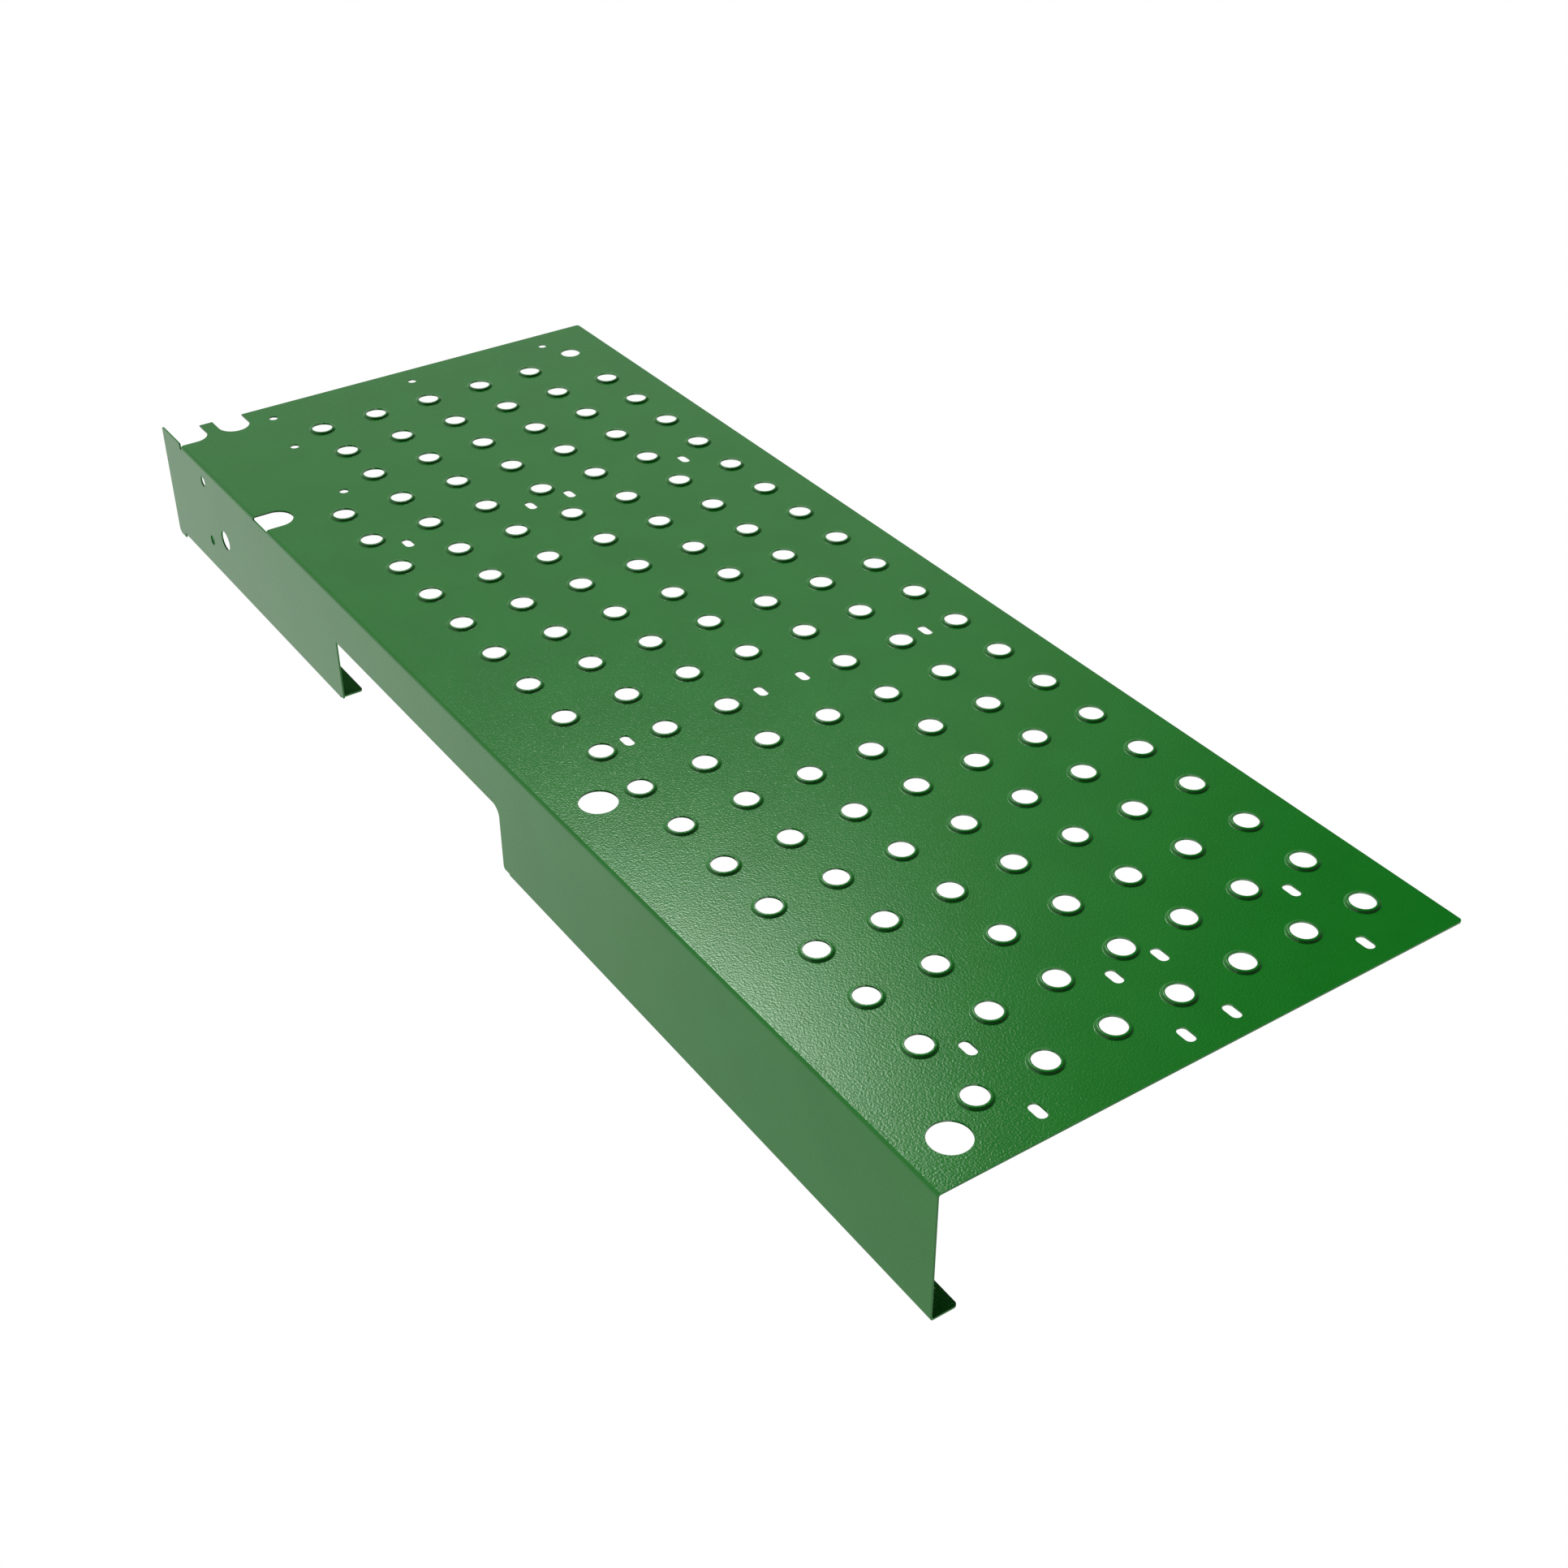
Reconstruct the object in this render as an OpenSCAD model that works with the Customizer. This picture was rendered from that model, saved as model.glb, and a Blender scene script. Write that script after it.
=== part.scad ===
// Folded steel deck plate of a work platform.
// One sheet: a flat deck with raised grip holes, a flange folded down along one
// long side, and two short lips folded inwards under that flange.
// Each flat or fold of the sheet is one node, and they meet face to face.
// Lengths along X are counted from the flange's plain end, widths along Y from
// the flange's outer face, and heights from the deck's underside.

/* [Sheet] */
// Overall length, along the flange
plate_l = 1290; // [1286:1:1300]
// Overall width, from the flange's outer face to the free edge
plate_w = 478.5; // [470:0.5:520]
// Height from the deck's top face to the underside of the lips
flange_h = 117; // [110:1:140]
// Sheet thickness with its coating
sheet_t = 1.6; // [1.2:0.1:2]
// Inside radius of the folds
fold_r = 1.5; // [1:0.1:2]
// Radius of the free corners of the deck and the lips
corner_r = 3.2; // [1:0.1:6]

/* [Raised grip holes] */
// Distance between neighbouring grip holes, both ways
grip_pitch = 60; // [58:0.5:60]
// Rows of grip holes along the plate
grip_rows = 20; // [10:1:20]
// Columns of grip holes across the plate
grip_cols = 7; // [3:1:7]
// Diameter of the opening in a grip hole
grip_d = 20.4; // [18:0.1:21]
// Diameter where the raised collar leaves the flat deck
grip_base_d = 27.6; // [27:0.1:28]
// Height of the collar above the deck
grip_h = 2; // [1.6:0.1:2.2]
// Distance of the first row from the square end of the plate
grip_end = 55.4; // [50:0.1:60]
// Distance of the first column from the flange's outer face
grip_side = 73.8; // [72:0.1:76]

/* [Bolt slots] */
// Width of a slot
slot_w = 9; // [8:0.1:10]
// End-to-end length of a slot
slot_l = 16; // [14:0.1:18]
// Distance between the two slots of a pair, across the plate
slot_pair = 130; // [126:0.5:132]
// Distance between the two slots on either side of the middle
slot_gap = 42.4; // [40:0.2:46]
// Distance of the first slot from the flange's outer face
slot_side = 99.6; // [98:0.2:101]
// Distance of the first row of slots from the plain end of the flange
slot_row_1 = 1267.6; // [1266:0.1:1269]
// Distance of the second row of slots from the plain end
slot_row_2 = 1194.8; // [1192:0.1:1197]
// Distance of the third row of slots from the plain end
slot_row_3 = 751.9; // [748:0.1:756]
// Distance of the fourth row of slots from the plain end
slot_row_4 = 357.6; // [354:0.1:361]

/* [Round holes] */
// Diameter of the large punch: two holes, two notches and the slot in the fold
large_d = 31.7; // [28:0.1:32]
// Distance of the first large hole from the plain end of the flange
large_x_1 = 1254.6; // [1250:0.1:1260]
// Distance of the second large hole from the plain end
large_x_2 = 811.8; // [806:0.1:818]
// Distance of the large holes from the flange's outer face
large_side = 37.5; // [36:0.1:39]
// Diameter of the small bolt holes near the narrow end
small_d = 9; // [7:0.1:11]
// Distance of the three end holes from the plain end of the flange
end_hole_x = 43; // [40:0.5:46]
// Distance of the first end hole from the flange's outer face
end_hole_side = 102.9; // [100:0.1:106]
// Distance between the end holes
end_hole_pitch = 157.5; // [150:0.5:160]
// Distance of the first hole behind the tab from the plain end of the flange
tab_hole_x = 114.6; // [110:0.1:120]
// Distance from it to the second hole, along the plate
tab_hole_gap = 115.1; // [112:0.1:118]
// Distance of those two holes from the flange's outer face
tab_hole_side = 94.5; // [92:0.1:96]
// Distance of the plain hole in the free corner from the flange's plain end
corner_hole_x = 75.7; // [72:0.1:80]
// Distance of that hole from the flange's outer face
corner_hole_y = 434.5; // [430:0.1:438]

/* [Notches in the deck] */
// Distance from the flange's plain end to the deck's end
deck_setback = 16; // [14:0.5:18]
// Distance from the flange's plain end to the bottom of the end notches
notch_x = 49.6; // [48:0.1:52]
// Distance of the round end notch's centre from the flange's outer face
end_notch_y = 63.3; // [62:0.1:65]
// Distance of the slot that opens into the fold from the flange's plain end
fold_slot_x = 244.9; // [243:0.1:247]
// Distance of that slot's round end from the flange's outer face, at its centre
fold_slot_y = 17.8; // [17:0.1:19]

/* [Flange] */
// Start of the opening under the flange, from the flange's plain end
cutout_from = 400; // [398:0.1:420]
// End of that opening
cutout_to = 710.3; // [690:0.1:712]
// Distance from the deck's top face down to the opening
cutout_top = 51.6; // [45:0.1:60]
// Radius in the opening's upper corner
cutout_r = 10; // [4:0.5:16]
// Height of the flange's free end above the deck's top face
ear_h = 1.3; // [0.5:0.1:2]
// Length of that free end
ear_l = 46; // [44:0.5:47]
// Depth of the toe below the lips, at the plain end
toe_drop = 2.3; // [1:0.1:3]
// Length of the toe
toe_l = 15.5; // [12:0.5:17]
// Radius at the toe's corner
toe_r = 6; // [2:0.5:10]
// Diameter of the two bolt holes in the flange
flange_hole_d = 10.7; // [9:0.1:12]
// Distance of the bolt holes from the flange's plain end
flange_hole_x = 100.8; // [96:0.1:106]
// Depth of the upper bolt hole below the deck's top face
flange_hole_drop = 17.7; // [15:0.1:20]
// Distance from it to the lower bolt hole
flange_hole_gap = 66.2; // [62:0.1:70]
// Distance of the round opening from the flange's plain end
port_x = 139.8; // [135:0.1:145]
// Depth of the round opening below the deck's top face
port_drop = 66.6; // [60:0.1:72]
// Diameter of the round opening
port_d = 20.4; // [16:0.1:24]

/* [Lips] */
// Width of the lips, from the flange's outer face
lip_w = 23.2; // [16:0.1:30]
// Start of the lip at the plain end, from the flange's plain end
far_lip_from = 20.5; // [18:0.5:24]
// End of that lip
far_lip_to = 392.5; // [380:0.5:397]
// Start of the lip at the square end
near_lip_from = 720; // [715:1:740]

/* [Hidden] */
$fn = 48;
// Outside radius of the folds
fold_out = fold_r + sheet_t;
// Heights of the main levels, from the deck's underside
deck_top = sheet_t;
lip_bottom = deck_top - flange_h;
// Levels at which the flange meets its two folds
upper_tangent = deck_top - fold_out;
lower_tangent = lip_bottom + fold_out;
// Relief beside the upper fold
relief_z = upper_tangent - 1.5;
// Plain bottom edge of the flange between the opening and each lip
heel_z = lip_bottom + 3.8;
heel_r = 3;
ear_r = 2;
// More than any through cut needs
past = 5;
// Slots along and across the plate
slot_xs = [slot_row_1, slot_row_2, slot_row_3, slot_row_4];
slot_ys = [
    slot_side,
    slot_side + slot_pair,
    slot_side + slot_pair + slot_gap,
    slot_side + 2 * slot_pair + slot_gap
];
// Radius of the large punch, and its centre in both end notches
large_r = large_d / 2;
notch_centre_x = notch_x - large_r;
// Columns and rows that the grip pattern leaves out, as [column, row]
no_grip = [[3, 8], [0, 17], [0, 18], [0, 19], [6, 19]];
// Radii of the collar's two curves, which meet at the same slope
collar_flat = 1;
collar_foot_r = 1.2;
collar_rise = grip_base_d / 2 - grip_d / 2 - collar_flat;
collar_angle = 2 * atan(grip_h / collar_rise);
collar_head_r = collar_rise / sin(collar_angle) - collar_foot_r;
// The origin: the middle of the outer slots of the first two rows
datum = [(slot_row_1 + slot_row_2) / 2, (slot_ys[0] + slot_ys[3]) / 2];

// Moves a piece from the plate's corner to the datum
module placed() {
    translate([-datum[0], -datum[1], 0])
        children();
}

// A profile in Y and Z, drawn out along X between two places
module along_x(from, to) {
    translate([from, 0, 0])
        rotate([90, 0, 90])
            linear_extrude(height = to - from)
                children();
}

// A face in X and Z, given the sheet's thickness along Y
module upright() {
    translate([0, sheet_t, 0])
        rotate([90, 0, 0])
            linear_extrude(height = sheet_t)
                children();
}

// A flat rectangle between two corners
module rect(low, high) {
    translate(low)
        square(high - low);
}

// A slot with round ends, its length along X
module slot(x, y) {
    reach = (slot_l - slot_w) / 2;
    rect([x - reach, y - slot_w / 2], [x + reach, y + slot_w / 2]);
    for (side = [-1, 1])
        translate([x + side * reach, y])
            circle(d = slot_w);
}

module hole(x, y, d) {
    translate([x, y])
        circle(d = d);
}

// What rounding the corner at x and y takes away; inwards points along the plate
module corner_cut(x, y, inwards) {
    inner_x = x + inwards * corner_r;
    difference() {
        rect([min(x, inner_x), y - corner_r], [max(x, inner_x), y]);
        hole(inner_x, y - corner_r, 2 * corner_r);
    }
}

function grip_x(row) = plate_l - grip_end - row * grip_pitch;
function grip_y(col) = grip_side + col * grip_pitch;
function has_grip(col, row) = len([for (gap = no_grip) if (gap == [col, row]) gap]) == 0;

// Puts its child at every grip hole
module at_grips() {
    for (col = [0 : grip_cols - 1])
        for (row = [0 : grip_rows - 1])
            if (has_grip(col, row))
                translate([grip_x(row), grip_y(col)])
                    children();
}

// The corner that is cut away beside the flange, round where the large punch ends it
module corner_notch() {
    hole(notch_centre_x, fold_slot_y, large_d);
    rect([-past, -past], [notch_centre_x, fold_slot_y + large_r]);
    rect([-past, -past], [notch_x, fold_slot_y]);
}

// The round notch beside it, open to the deck's end
module end_notch() {
    hole(notch_centre_x, end_notch_y, large_d);
    rect([-past, end_notch_y - large_r], [notch_centre_x, end_notch_y + large_r]);
}

// The slot that runs from the deck into the upper fold
module fold_slot_cut() {
    hole(fold_slot_x, fold_slot_y, large_d);
    rect([fold_slot_x - large_r, -past], [fold_slot_x + large_r, fold_slot_y]);
}

module deck_holes() {
    for (x = slot_xs)
        for (y = slot_ys)
            slot(x, y);
    for (x = [large_x_1, large_x_2])
        hole(x, large_side, large_d);
    for (i = [0 : 2])
        hole(end_hole_x, end_hole_side + i * end_hole_pitch, small_d);
    for (x = [tab_hole_x, tab_hole_x + tab_hole_gap])
        hole(x, tab_hole_side, small_d);
    hole(corner_hole_x, corner_hole_y, grip_d);
}

module deck_outline() {
    difference() {
        rect([deck_setback, fold_out], [plate_l, plate_w]);
        corner_cut(deck_setback, plate_w, 1);
        corner_cut(plate_l, plate_w, -1);
        corner_notch();
        end_notch();
        fold_slot_cut();
        deck_holes();
        at_grips()
            circle(d = grip_base_d);
    }
}

module deck_panel() {
    color("#4a824c")
        placed()
            linear_extrude(height = sheet_t)
                deck_outline();
}

// Half section of a raised collar: radius along X, height from the deck's top
module collar_section() {
    hole_r = grip_d / 2;
    base_r = grip_base_d / 2;
    head_x = hole_r + collar_flat;
    head_z = grip_h - collar_head_r;
    meet = [
        head_x + collar_head_r * sin(collar_angle),
        grip_h - collar_head_r * (1 - cos(collar_angle))
    ];
    difference() {
        union() {
            polygon([
                [hole_r, -sheet_t],
                [base_r, -sheet_t],
                [base_r, 0],
                meet,
                [head_x, grip_h],
                [hole_r, grip_h]
            ]);
            intersection() {
                translate([head_x, head_z])
                    circle(r = collar_head_r);
                rect([head_x, 0], [base_r, grip_h + past]);
            }
        }
        translate([base_r, collar_foot_r])
            circle(r = collar_foot_r);
        difference() {
            rect([0, -sheet_t - past], [base_r, grip_h - sheet_t]);
            translate([base_r, collar_foot_r])
                circle(r = collar_foot_r + sheet_t);
        }
    }
}

module grip_collars() {
    color("#437a45")
        placed()
            at_grips()
                translate([0, 0, deck_top])
                    rotate_extrude($fn = 32)
                        collar_section($fn = 32);
}

// The quarter of a fold's ring on the flange's side: above its centre, or below
module quarter_ring(above) {
    intersection() {
        difference() {
            circle(r = fold_out);
            circle(r = fold_r);
        }
        translate([-past, above ? 0 : -past])
            square(past);
    }
}

module top_fold_run(from, to) {
    along_x(from, to)
        translate([fold_out, upper_tangent])
            quarter_ring(above = true);
}

module top_fold() {
    color("#5b8f5d")
        placed() {
            top_fold_run(notch_x, fold_slot_x - large_r);
            top_fold_run(fold_slot_x + large_r, plate_l);
        }
}

// A rectangle whose listed corner alone is round: sign_x and sign_z point to it
module one_round(low, high, r, sign_x, sign_z) {
    corner = [sign_x > 0 ? high[0] : low[0], sign_z > 0 ? high[1] : low[1]];
    inner = [corner[0] - sign_x * r, corner[1] - sign_z * r];
    difference() {
        rect(low, high);
        difference() {
            rect(
                [min(corner[0], inner[0]), min(corner[1], inner[1])],
                [max(corner[0], inner[0]), max(corner[1], inner[1])]
            );
            translate(inner)
                circle(r = r);
        }
    }
}

// The flange's free end, which stands above the deck with both corners round
module ear() {
    ear_top = deck_top + ear_h;
    rect([0, relief_z], [ear_l, ear_top - ear_r]);
    rect([ear_r, relief_z], [ear_l - ear_r, ear_top]);
    for (x = [ear_r, ear_l - ear_r])
        hole(x, ear_top - ear_r, 2 * ear_r);
}

module flange_face() {
    difference() {
        union() {
            rect([0, lower_tangent], [plate_l, upper_tangent]);
            ear();
            one_round([0, lip_bottom - toe_drop], [toe_l, lower_tangent], toe_r, -1, -1);
        }
        // relief between the free end and the upper fold
        rect([ear_l, relief_z], [notch_x, upper_tangent + past]);
        // opening under the flange
        one_round(
            [cutout_from, lip_bottom - past],
            [cutout_to, deck_top - cutout_top],
            cutout_r, 1, 1
        );
        // plain edges between the opening and the lips
        rect([far_lip_to, lip_bottom - past], [near_lip_from, heel_z]);
        difference() {
            rect([cutout_to, heel_z], [cutout_to + heel_r, heel_z + heel_r]);
            hole(cutout_to + heel_r, heel_z + heel_r, 2 * heel_r);
        }
        for (drop = [flange_hole_drop, flange_hole_drop + flange_hole_gap])
            hole(flange_hole_x, deck_top - drop, flange_hole_d);
        hole(port_x, deck_top - port_drop, port_d);
    }
}

module side_flange() {
    color("#6c936f")
        placed()
            upright()
                flange_face();
}

// A lip with its fold, both free corners round
module lip(from, to) {
    along_x(from, to)
        translate([fold_out, lower_tangent])
            quarter_ring(above = false);
    translate([0, 0, lip_bottom])
        linear_extrude(height = sheet_t)
            difference() {
                rect([from, fold_out], [to, lip_w]);
                corner_cut(from, lip_w, 1);
                corner_cut(to, lip_w, -1);
            }
}

module near_lip() {
    color("#2f5f34")
        placed()
            lip(near_lip_from, plate_l);
}

module far_lip() {
    color("#2f5f34")
        placed()
            lip(far_lip_from, far_lip_to);
}

deck_panel();
grip_collars();
top_fold();
side_flange();
near_lip();
far_lip();
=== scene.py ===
import math

import bpy
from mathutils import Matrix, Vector


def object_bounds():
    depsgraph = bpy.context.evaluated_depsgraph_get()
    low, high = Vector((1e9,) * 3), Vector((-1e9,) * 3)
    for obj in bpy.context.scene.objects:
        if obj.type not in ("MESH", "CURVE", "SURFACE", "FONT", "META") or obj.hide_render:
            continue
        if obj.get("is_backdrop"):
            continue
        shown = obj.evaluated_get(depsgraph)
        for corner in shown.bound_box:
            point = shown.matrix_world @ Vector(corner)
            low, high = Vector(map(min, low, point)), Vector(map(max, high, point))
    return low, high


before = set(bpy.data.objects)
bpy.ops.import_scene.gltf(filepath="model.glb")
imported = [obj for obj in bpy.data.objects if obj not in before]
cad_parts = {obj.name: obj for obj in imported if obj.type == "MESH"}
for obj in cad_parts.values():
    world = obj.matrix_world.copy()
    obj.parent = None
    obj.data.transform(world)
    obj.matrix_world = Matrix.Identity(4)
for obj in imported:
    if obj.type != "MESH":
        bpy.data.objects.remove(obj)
cad_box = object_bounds()

# ---------------------------------------------------------------------------
# Driving values: metres, degrees, linear colours, and radiances where 1 is
# white. Azimuths turn from +X towards +Y. A band or an edge is a pair of
# values between which something fades: heights are sines of the elevation.
# ---------------------------------------------------------------------------

WHITE = (1, 1, 1)

# Powder coat: a clear green with a satin skin
COAT_DEEP = (0.0058, 0.130, 0.0100)
COAT_GREEN = (0.0070, 0.142, 0.0120)
COAT_LIGHT = (0.0085, 0.155, 0.0145)
COAT_IOR = 1.5
COAT_ROUGHNESS = (0.050, 0.060)

# Slow drift between the deep and the plain green
CLOUD_SIZE = 0.060
CLOUD_BAND = (0.30, 0.70)

# Fine light specks, and how strong they are
SPECKLE_SIZE = 0.0009
SPECKLE_BAND = (0.35, 0.75)
SPECKLE_SHARE = 0.45

# Relief of the skin: an orange peel with a finer grain on it
PEEL_SIZE = 0.0018
PEEL_DEPTH = 0.000115
GRAIN_SIZE = 0.0007
GRAIN_DEPTH = 0.000008

# Lit wall on the flange's side, and the dimmer glow low around the room
WALL = 0.513
WALL_AZIMUTH = 210.6
WALL_EDGE = (0.056, 0.334)
HORIZON = 0.35
HORIZON_BAND = (0.17, 0.32)

# Soft panel past the plain end, with half its width and half its height
PANEL = 25.0
PANEL_COLOUR = (1.0, 1.13, 1.0)
PANEL_AZIMUTH = 152.8
PANEL_ELEVATION = 44.9
PANEL_HALF = (3.8, 2.0)
PANEL_SOFT = 7.2
PANEL_FRONT = (0.0, 0.1)

# Floor of the room: below the plate, farther out, and in front of the flange
FLOOR_LINE = (-0.05, 0.0)
FLOOR_BELOW = 0.55
FLOOR_FAR = 0.84
FLOOR_BAND = (-0.70, -0.52)
FRONT = 1.40
FRONT_AZIMUTH = -60.0
FRONT_ELEVATION = -25.0
FRONT_EDGE = (0.50, 0.80)

# Key light, from above the plain end
KEY_IRRADIANCE = 1.091
KEY_AZIMUTH = 165.0
KEY_ELEVATION = 50.0
KEY_SPREAD = 36.0

# White floor that the camera sees: its size in lengths of the plate, and its gap to it
SWEEP_LENGTHS = 40
SWEEP_GAP = 0.001

# Camera, with its place as an offset from the middle of the plate
CAMERA_OFFSET = Vector((1.37707, -0.85557, 1.05056))
CAMERA_AZIMUTH = -34.39
CAMERA_ELEVATION = 35.475
CAMERA_LENS = 50.0
CAMERA_SENSOR = 36.0
CAMERA_CLIP = 0.01


# ---------------------------------------------------------------------------
# Helpers
# ---------------------------------------------------------------------------

def direction(azimuth, elevation):
    """The unit vector that points at that azimuth and elevation."""
    a = math.radians(azimuth)
    e = math.radians(elevation)
    return Vector((math.cos(e) * math.cos(a), math.cos(e) * math.sin(a), math.sin(e)))


def add_object(name, data):
    """A new object in the scene."""
    obj = bpy.data.objects.new(name, data)
    bpy.context.scene.collection.objects.link(obj)
    return obj


class Graph:
    """A node tree that starts empty, with short calls for the nodes used here."""

    def __init__(self, owner):
        owner.use_nodes = True
        self.tree = owner.node_tree
        self.tree.nodes.clear()

    def put(self, socket, value):
        """Links another socket into this one, or sets its number, vector or colour."""
        if isinstance(value, bpy.types.NodeSocket):
            self.tree.links.new(value, socket)
        elif socket.type == "RGBA":
            socket.default_value = (*value, 1)
        else:
            socket.default_value = value

    def node(self, kind, **inputs):
        """A node with inputs set by name, an underscore standing for a space."""
        made = self.tree.nodes.new(kind)
        for name, value in inputs.items():
            self.put(made.inputs[name.replace("_", " ")], value)
        return made

    def math(self, operation, a, b=0.0):
        made = self.tree.nodes.new("ShaderNodeMath")
        made.operation = operation
        self.put(made.inputs[0], a)
        self.put(made.inputs[1], b)
        return made.outputs[0]

    def dot(self, vector, other):
        made = self.tree.nodes.new("ShaderNodeVectorMath")
        made.operation = "DOT_PRODUCT"
        self.put(made.inputs[0], vector)
        self.put(made.inputs[1], other)
        return made.outputs["Value"]

    def ramp(self, value, low, high, out_low=0.0, out_high=1.0):
        """Smoothly from out_low at low to out_high at high."""
        made = self.node(
            "ShaderNodeMapRange",
            Value=value, From_Min=low, From_Max=high, To_Min=out_low, To_Max=out_high,
        )
        made.interpolation_type = "SMOOTHSTEP"
        return made.outputs["Result"]

    def noise(self, where, size, detail):
        """A noise from 0 to 1 with features of that size."""
        made = self.node("ShaderNodeTexNoise", Vector=where, Scale=1 / size, Detail=detail)
        return made.outputs["Fac"]

    def bump(self, height, depth, **normal):
        """The surface normal once that height, times the depth, is laid on it."""
        made = self.node("ShaderNodeBump", Height=height, Distance=depth, Strength=1.0, **normal)
        return made.outputs["Normal"]

    def mix_number(self, factor, a, b):
        made = self.tree.nodes.new("ShaderNodeMix")
        made.data_type = "FLOAT"
        for index, value in ((0, factor), (2, a), (3, b)):
            self.put(made.inputs[index], value)
        return made.outputs[0]

    def mix_colour(self, factor, a, b):
        made = self.tree.nodes.new("ShaderNodeMix")
        made.data_type = "RGBA"
        for index, value in ((0, factor), (6, a), (7, b)):
            self.put(made.inputs[index], value)
        return made.outputs[2]


# ---------------------------------------------------------------------------
# Powder coat
# ---------------------------------------------------------------------------

def powder_coat(name):
    """Satin green powder coat with a drift in tone, specks and a slight orange peel."""
    material = bpy.data.materials.new(name)
    g = Graph(material)
    where = g.node("ShaderNodeTexCoord").outputs["Object"]

    clouds = g.ramp(g.noise(where, CLOUD_SIZE, detail=3.0), *CLOUD_BAND)
    speckle = g.ramp(g.noise(where, SPECKLE_SIZE, detail=1.0), *SPECKLE_BAND)
    colour = g.mix_colour(clouds, COAT_DEEP, COAT_GREEN)
    colour = g.mix_colour(g.math("MULTIPLY", speckle, SPECKLE_SHARE), colour, COAT_LIGHT)

    peel = g.bump(g.noise(where, PEEL_SIZE, detail=2.0), PEEL_DEPTH)
    skin = g.bump(g.noise(where, GRAIN_SIZE, detail=1.0), GRAIN_DEPTH, Normal=peel)

    roughness = g.ramp(clouds, 0.0, 1.0, *COAT_ROUGHNESS)
    shader = g.node(
        "ShaderNodeBsdfPrincipled",
        Base_Color=colour, Roughness=roughness, IOR=COAT_IOR, Normal=skin,
    )
    g.node("ShaderNodeOutputMaterial", Surface=shader.outputs[0])
    return material


# ---------------------------------------------------------------------------
# Studio: room, key light, floor, camera
# ---------------------------------------------------------------------------

def panel_radiance(g, towards):
    """The soft panel: a blurred rectangle around its middle, and nothing opposite it."""
    middle = direction(PANEL_AZIMUTH, PANEL_ELEVATION)
    across = Vector((0, 0, 1)).cross(middle).normalized()
    up = middle.cross(across)
    mask = g.ramp(g.dot(towards, middle), *PANEL_FRONT)
    for axis, half in zip((across, up), PANEL_HALF):
        off = g.math("ABSOLUTE", g.dot(towards, axis))
        inner = math.sin(math.radians(half - PANEL_SOFT))
        outer = math.sin(math.radians(half + PANEL_SOFT))
        mask = g.math("MULTIPLY", mask, g.ramp(off, inner, outer, 1.0, 0.0))
    return g.math("MULTIPLY", mask, PANEL)


def room_radiance(g, towards):
    """The lit wall and the low glow above the floor's line, and the bright floor below it."""
    height = g.dot(towards, (0, 0, 1))
    wall = g.ramp(g.dot(towards, direction(WALL_AZIMUTH, 0.0)), *WALL_EDGE, 0.0, WALL)
    horizon = g.ramp(height, *HORIZON_BAND, HORIZON, 0.0)
    above = g.math("ADD", wall, horizon)

    front = g.dot(towards, direction(FRONT_AZIMUTH, FRONT_ELEVATION))
    front = g.ramp(front, *FRONT_EDGE, 0.0, FRONT)
    below = g.ramp(height, *FLOOR_BAND, FLOOR_BELOW, FLOOR_FAR)
    below = g.math("ADD", below, front)
    return g.mix_number(g.ramp(height, *FLOOR_LINE), below, above)


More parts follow.
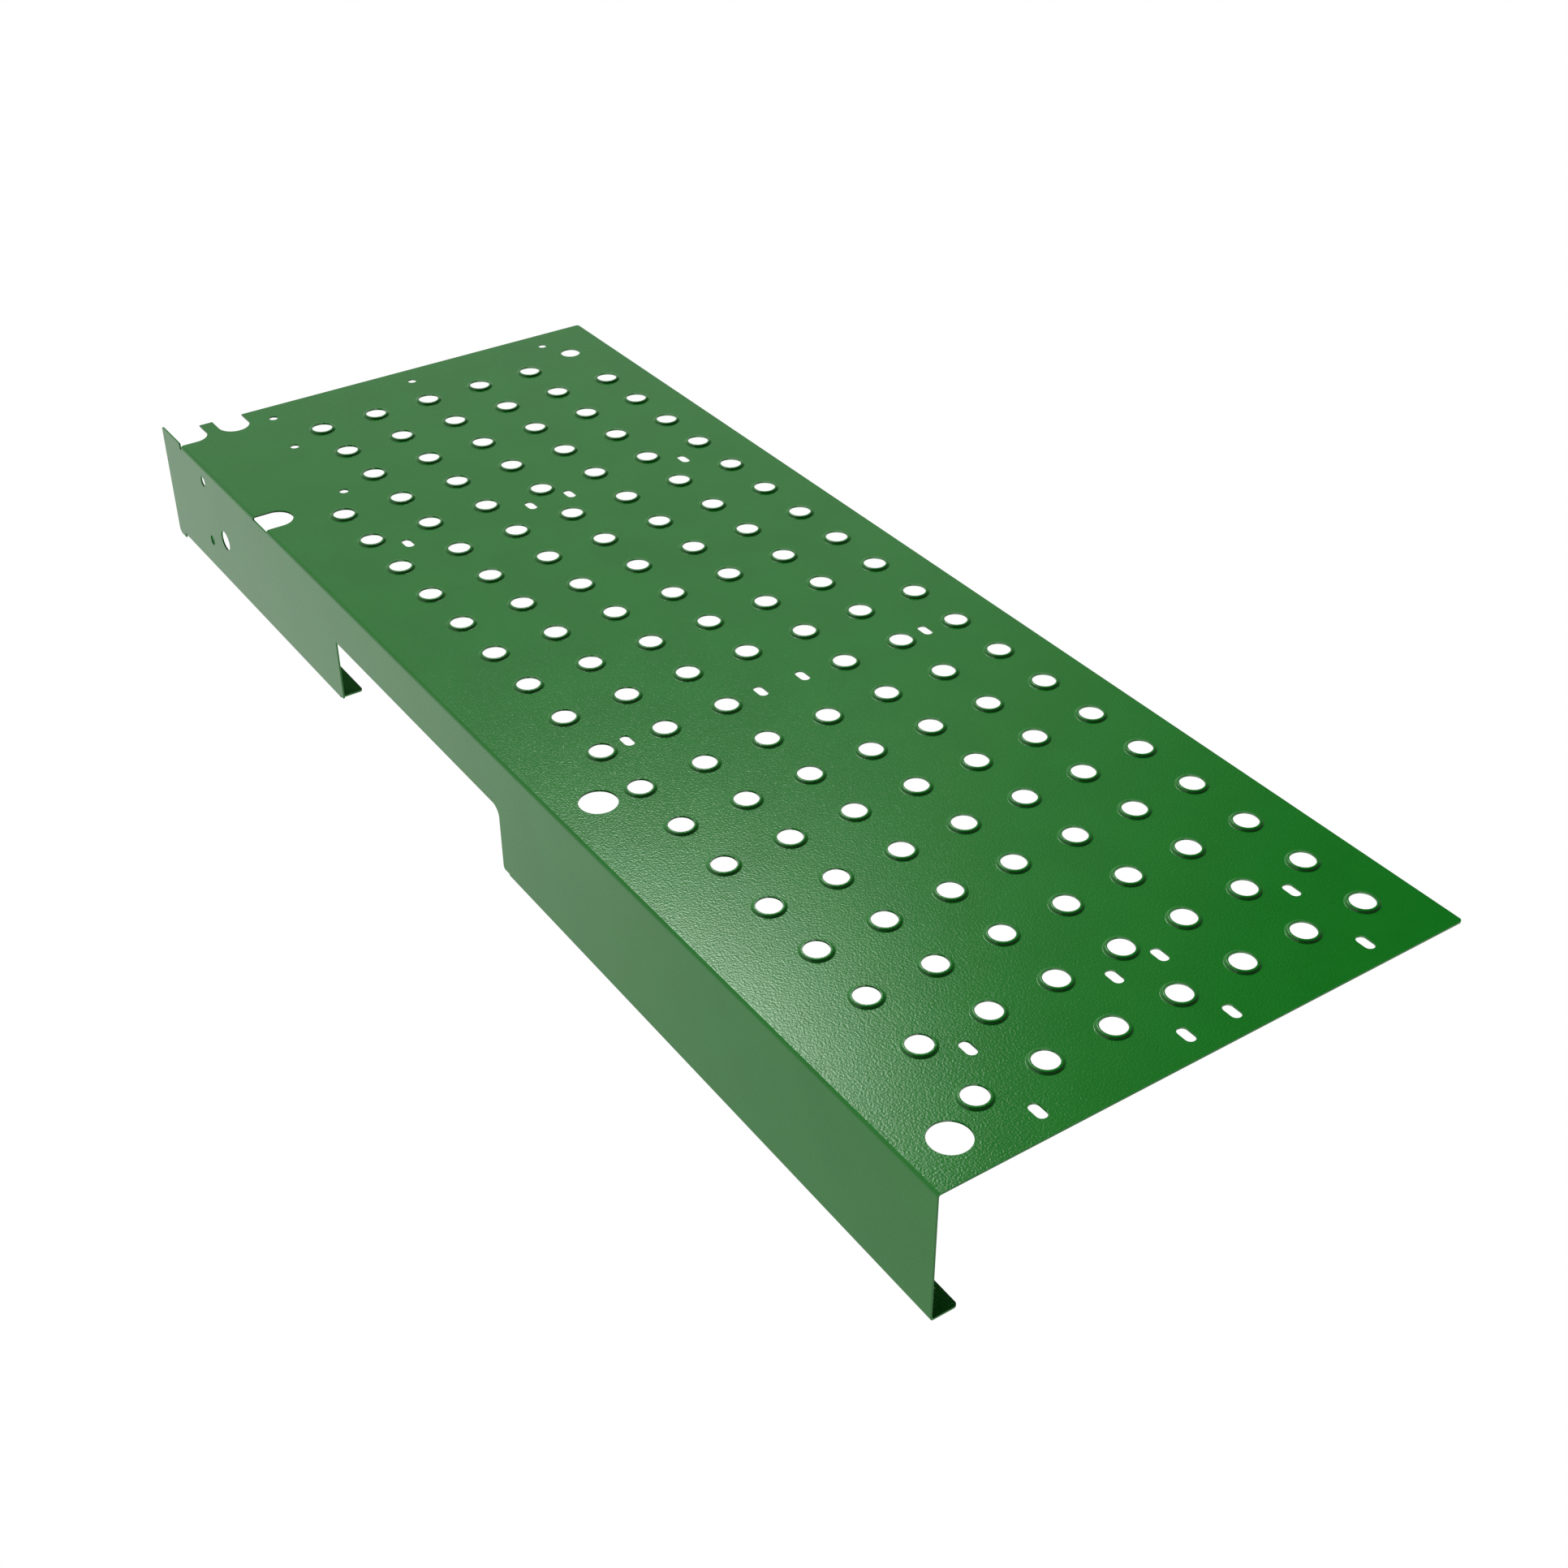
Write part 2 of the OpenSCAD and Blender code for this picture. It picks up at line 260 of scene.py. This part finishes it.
def studio_world():
    """The pale room that lights the plate. The camera itself sees plain white."""
    world = bpy.data.worlds.new("studio")
    bpy.context.scene.world = world
    g = Graph(world)
    towards = g.node("ShaderNodeTexCoord").outputs["Generated"]

    room = g.node("ShaderNodeBackground", Color=WHITE, Strength=room_radiance(g, towards))
    panel = g.node("ShaderNodeBackground", Color=PANEL_COLOUR, Strength=panel_radiance(g, towards))
    lit = g.node("ShaderNodeAddShader")
    g.put(lit.inputs[0], room.outputs[0])
    g.put(lit.inputs[1], panel.outputs[0])

    seen = g.node("ShaderNodeBackground", Color=WHITE, Strength=1.0)
    by_camera = g.node("ShaderNodeLightPath").outputs["Is Camera Ray"]
    both = g.node("ShaderNodeMixShader", Fac=by_camera)
    g.put(both.inputs[1], lit.outputs[0])
    g.put(both.inputs[2], seen.outputs[0])
    g.node("ShaderNodeOutputWorld", Surface=both.outputs[0])


def key_light():
    """A wide soft light. Its mirror image is left to the panel."""
    light = bpy.data.lights.new("key", "SUN")
    light.energy = KEY_IRRADIANCE * math.pi
    light.angle = math.radians(KEY_SPREAD)
    lamp = add_object("key", light)
    lamp.visible_glossy = False
    lamp.rotation_euler = direction(KEY_AZIMUTH, KEY_ELEVATION).to_track_quat("Z", "Y").to_euler()


def floor():
    """A plain white sweep under the plate that only the camera sees."""
    low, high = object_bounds()
    half = SWEEP_LENGTHS * (high[0] - low[0]) / 2
    mesh = bpy.data.meshes.new("floor")
    corners = [(-half, -half, 0), (half, -half, 0), (half, half, 0), (-half, half, 0)]
    mesh.from_pydata(corners, [], [(0, 1, 2, 3)])
    obj = add_object("floor", mesh)
    obj.location.z = low[2] - SWEEP_GAP
    for ray in ("diffuse", "glossy", "transmission", "volume_scatter", "shadow"):
        setattr(obj, f"visible_{ray}", False)

    material = bpy.data.materials.new("floor_white")
    g = Graph(material)
    glow = g.node("ShaderNodeEmission", Color=WHITE, Strength=1.0)
    g.node("ShaderNodeOutputMaterial", Surface=glow.outputs[0])
    mesh.materials.append(material)
    obj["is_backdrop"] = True


def camera():
    """At the photograph's viewing angle."""
    data = bpy.data.cameras.new("camera")
    data.lens = CAMERA_LENS
    data.sensor_width = CAMERA_SENSOR
    data.clip_start = CAMERA_CLIP
    obj = add_object("camera", data)
    low, high = cad_box
    obj.location = (Vector(low) + Vector(high)) / 2 + CAMERA_OFFSET
    towards = -direction(CAMERA_AZIMUTH, CAMERA_ELEVATION)
    obj.rotation_euler = towards.to_track_quat("-Z", "Y").to_euler()
    bpy.context.scene.camera = obj


# ---------------------------------------------------------------------------
# The plate, coated, in its studio
# ---------------------------------------------------------------------------

coat = powder_coat("coat")
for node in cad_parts.values():
    node.data.materials.clear()
    node.data.materials.append(coat)

studio_world()
key_light()
floor()
camera()
bpy.context.scene.view_settings.view_transform = "Standard"
